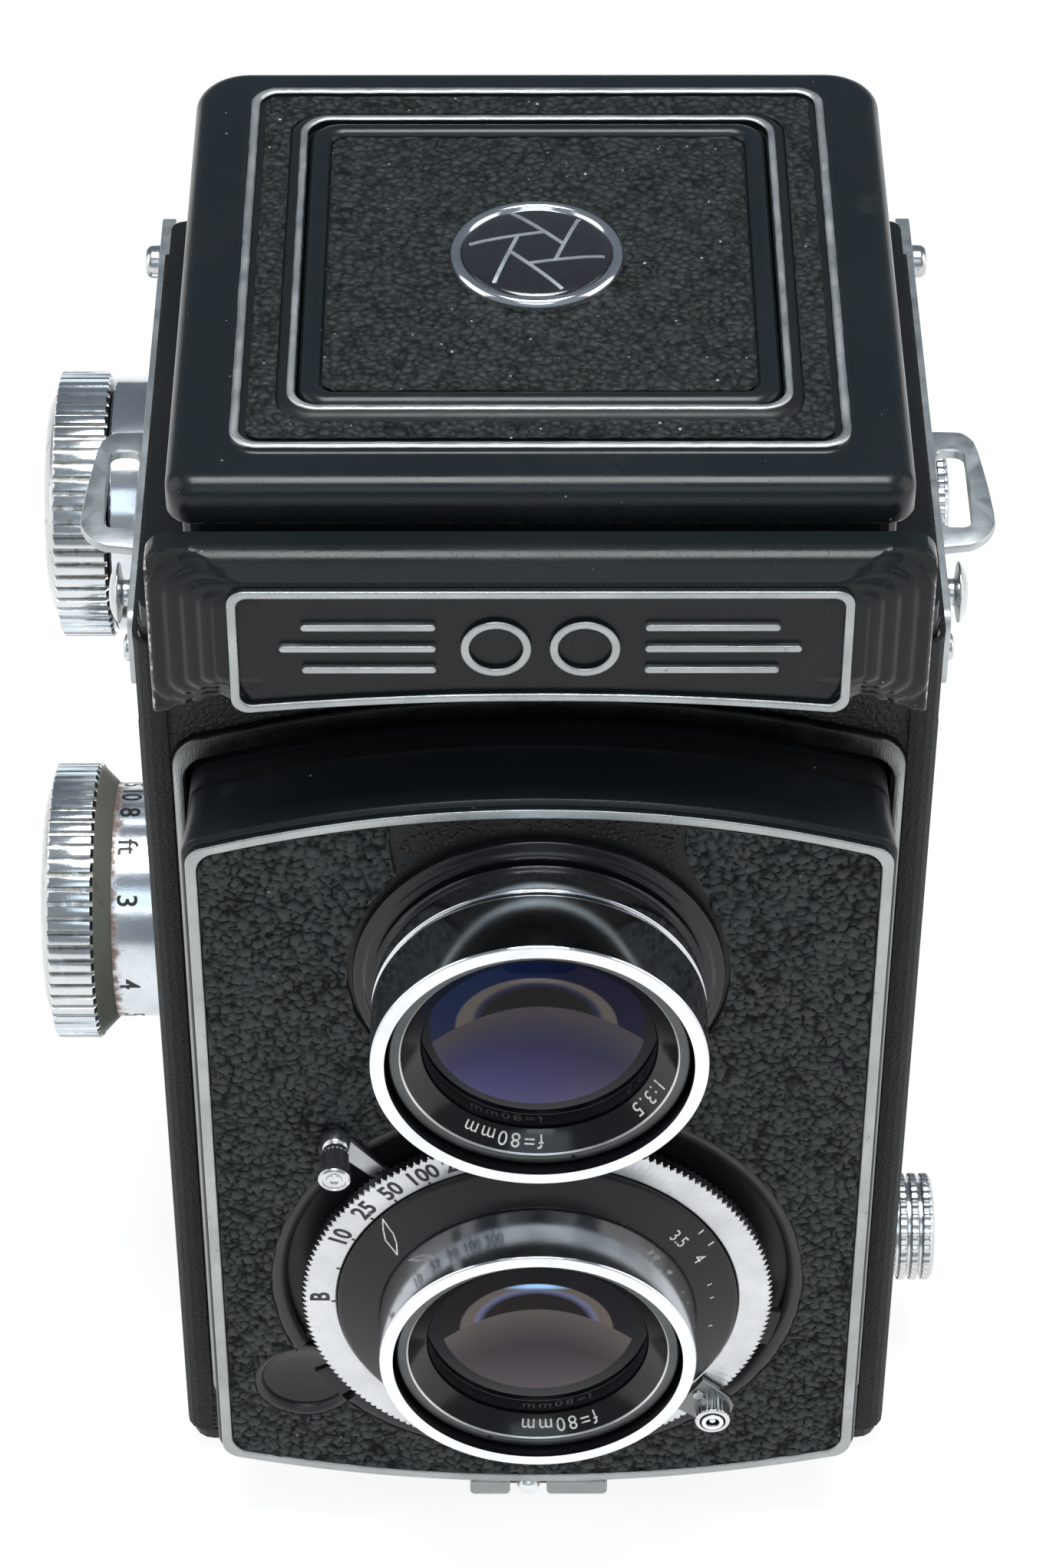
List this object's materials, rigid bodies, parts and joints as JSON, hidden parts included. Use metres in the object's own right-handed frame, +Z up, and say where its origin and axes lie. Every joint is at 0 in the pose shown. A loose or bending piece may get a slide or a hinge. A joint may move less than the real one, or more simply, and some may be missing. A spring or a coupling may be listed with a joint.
{
  "type": "twin lens reflex camera",
  "caption": "Medium-format twin lens reflex camera with focusing lens board, folding waist-level hood, winding and focusing knobs, pull-out spool holders and a hinged back door.",
  "frame": {"origin": "under the middle of the whole camera's bounding box, in the plane of the feet the camera stands on; the tripod bush axis is 4.35 mm towards +X and 11.1 mm towards +Y from it", "axes": "+Z up, the lenses look along -Y, +X towards the spool holders on the camera's right as seen from the front"},
  "size_m": [0.098, 0.0988, 0.141],
  "materials": {
    "black_paint": "semi-gloss black enamel",
    "hood_black": "satin black",
    "interior_black": "matt black",
    "leather": "pebble-grained black leather",
    "satin_trim": "satin bright edge",
    "strap_metal": "satin plated",
    "chrome": "polished",
    "speed_scale": "fine brushed, engraved scale",
    "shutter_black": "gloss black enamel",
    "lens_glass": "coated blue",
    "mirror": "front-silvered",
    "focusing_screen": "ground matt",
    "inner_steel": "turned"
  },
  "bodies": {
    "camera_body": {"body_shell": "black_paint", "strap_plate_left": "strap_metal", "strap_plate_right": "strap_metal", "body_leather_left": "leather", "body_leather_right": "leather", "front_flange": "satin_trim", "mirror_box": "interior_black", "reflex_mirror": "mirror", "ground_glass": "focusing_screen", "film_gate": "interior_black", "hood_base": "hood_black", "nameplate": "black_paint", "nameplate_trim": "satin_trim", "advance_escutcheon": "chrome", "door_hinge_pin": "inner_steel"},
    "lens_board": {"lens_board": "black_paint", "front_leather": "leather", "board_trim": "satin_trim", "viewing_barrel": "chrome", "viewing_front_element": "lens_glass", "viewing_rear_element": "lens_glass", "shutter_case": "interior_black", "shutter_face": "shutter_black", "shutter_blades": "inner_steel", "diaphragm_blades": "interior_black", "taking_barrel": "chrome", "taking_front_element": "lens_glass", "taking_rear_element": "lens_glass", "sync_socket": "chrome", "board_bracket": "chrome"},
    "focus_drive": {"focus_knob": "chrome", "focus_shaft": "inner_steel"},
    "speed_ring": {"speed_ring": "speed_scale"},
    "cocking_lever": {"cocking_lever": "chrome"},
    "aperture_lever": {"aperture_lever": "shutter_black"},
    "release_lever": {"release_lever": "shutter_black"},
    "advance_drive": {"advance_knob": "chrome", "take_up_spool": "interior_black"},
    "supply_spool": {"supply_spool": "interior_black"},
    "film_roller_lower": {"film_roller_lower": "inner_steel"},
    "film_roller_upper": {"film_roller_upper": "inner_steel"},
    "spool_knob_upper": {"spool_knob_upper": "chrome"},
    "spool_knob_lower": {"spool_knob_lower": "chrome"},
    "hood_lid": {"hood_lid": "black_paint", "lid_leather": "leather", "lid_trim": "satin_trim", "finder_flap": "black_paint", "hood_badge": "chrome"},
    "hood_panel_left": {"hood_panel_left": "hood_black"},
    "hood_panel_right": {"hood_panel_right": "hood_black"},
    "hood_panel_back": {"hood_panel_back": "hood_black"},
    "magnifier": {"magnifier_frame": "hood_black", "magnifier_lens": "lens_glass"},
    "back_door": {"back_door": "black_paint", "back_leather": "leather", "pressure_plate": "interior_black", "tripod_bush": "chrome"},
    "door_latch": {"door_latch": "chrome"},
    "window_cover": {"window_cover": "black_paint"}
  },
  "joints": [
    {"name": "focus_turn", "type": "hinge", "parent": "camera_body", "child": "focus_drive", "pos_m": [-0.04565, 0.0031, 0.055], "axis": [1, 0, 0], "range_deg": [0, 300]},
    {"name": "lens_board_slide", "type": "slide", "parent": "camera_body", "child": "lens_board", "axis": [0, -1, 0], "range_m": [0, 0.007]},
    {"name": "speed_ring_turn", "type": "hinge", "parent": "lens_board", "child": "speed_ring", "pos_m": [0.00435, -0.0385, 0.0388], "axis": [0, -1, 0], "range_deg": [0, 120]},
    {"name": "cocking_lever_turn", "type": "hinge", "parent": "lens_board", "child": "cocking_lever", "pos_m": [0.00435, -0.0385, 0.0388], "axis": [0, -1, 0], "range_deg": [0, 30]},
    {"name": "aperture_lever_turn", "type": "hinge", "parent": "lens_board", "child": "aperture_lever", "pos_m": [0.00435, -0.0385, 0.0388], "axis": [0, -1, 0], "range_deg": [0, 35]},
    {"name": "release_lever_turn", "type": "hinge", "parent": "lens_board", "child": "release_lever", "pos_m": [0.00435, -0.0385, 0.0388], "axis": [0, -1, 0], "range_deg": [0, 12]},
    {"name": "advance_turn", "type": "hinge", "parent": "camera_body", "child": "advance_drive", "pos_m": [-0.04365, 0.0311, 0.0863], "axis": [1, 0, 0], "continuous": true},
    {"name": "supply_spool_turn", "type": "hinge", "parent": "camera_body", "child": "supply_spool", "pos_m": [0.00435, -0.0089, 0.0165], "axis": [1, 0, 0], "continuous": true},
    {"name": "film_roller_lower_turn", "type": "hinge", "parent": "camera_body", "child": "film_roller_lower", "pos_m": [0.00435, 0.0403, 0.007], "axis": [1, 0, 0], "continuous": true},
    {"name": "film_roller_upper_turn", "type": "hinge", "parent": "camera_body", "child": "film_roller_upper", "pos_m": [0.00435, 0.0403, 0.0708], "axis": [1, 0, 0], "continuous": true},
    {"name": "spool_knob_upper_pull", "type": "slide", "parent": "camera_body", "child": "spool_knob_upper", "axis": [1, 0, 0], "range_m": [0, 0.004]},
    {"name": "spool_knob_lower_pull", "type": "slide", "parent": "camera_body", "child": "spool_knob_lower", "axis": [1, 0, 0], "range_m": [0, 0.004]},
    {"name": "hood_lid_turn", "type": "hinge", "parent": "camera_body", "child": "hood_lid", "pos_m": [0.00435, -0.0305, 0.13545], "axis": [1, 0, 0], "range_deg": [0, 90]},
    {"name": "hood_panel_left_turn", "type": "hinge", "parent": "camera_body", "child": "hood_panel_left", "pos_m": [-0.02595, 0.0011, 0.1242], "axis": [0, -1, 0], "range_deg": [0, 90]},
    {"name": "hood_panel_right_turn", "type": "hinge", "parent": "camera_body", "child": "hood_panel_right", "pos_m": [0.03465, 0.0011, 0.1242], "axis": [0, 1, 0], "range_deg": [0, 90]},
    {"name": "hood_panel_back_turn", "type": "hinge", "parent": "camera_body", "child": "hood_panel_back", "pos_m": [0.00435, 0.0313, 0.1274], "axis": [-1, 0, 0], "range_deg": [0, 90]},
    {"name": "magnifier_turn", "type": "hinge", "parent": "hood_lid", "child": "magnifier", "pos_m": [0.00435, -0.0009, 0.1326], "axis": [-1, 0, 0], "range_deg": [0, 90]},
    {"name": "back_door_turn", "type": "hinge", "parent": "camera_body", "child": "back_door", "pos_m": [0.00435, 0.048, 0.11], "axis": [1, 0, 0], "range_deg": [0, 100]},
    {"name": "door_latch_turn", "type": "hinge", "parent": "back_door", "child": "door_latch", "pos_m": [0.00435, 0.0111, 0.0008], "axis": [0, 0, 1], "range_deg": [0, 90]},
    {"name": "window_cover_slide", "type": "slide", "parent": "back_door", "child": "window_cover", "axis": [0, 0, 1], "range_m": [0, 0.012]}
  ],
  "couplings": [
    {"joint": "focus_turn", "follows": "lens_board_slide", "rad_per_m": 747.99},
    {"joint": "hood_panel_left_turn", "follows": "hood_lid_turn", "ratio": 1},
    {"joint": "hood_panel_right_turn", "follows": "hood_lid_turn", "ratio": 1},
    {"joint": "hood_panel_back_turn", "follows": "hood_lid_turn", "ratio": 1},
    {"joint": "magnifier_turn", "follows": "hood_lid_turn", "ratio": 1}
  ]
}
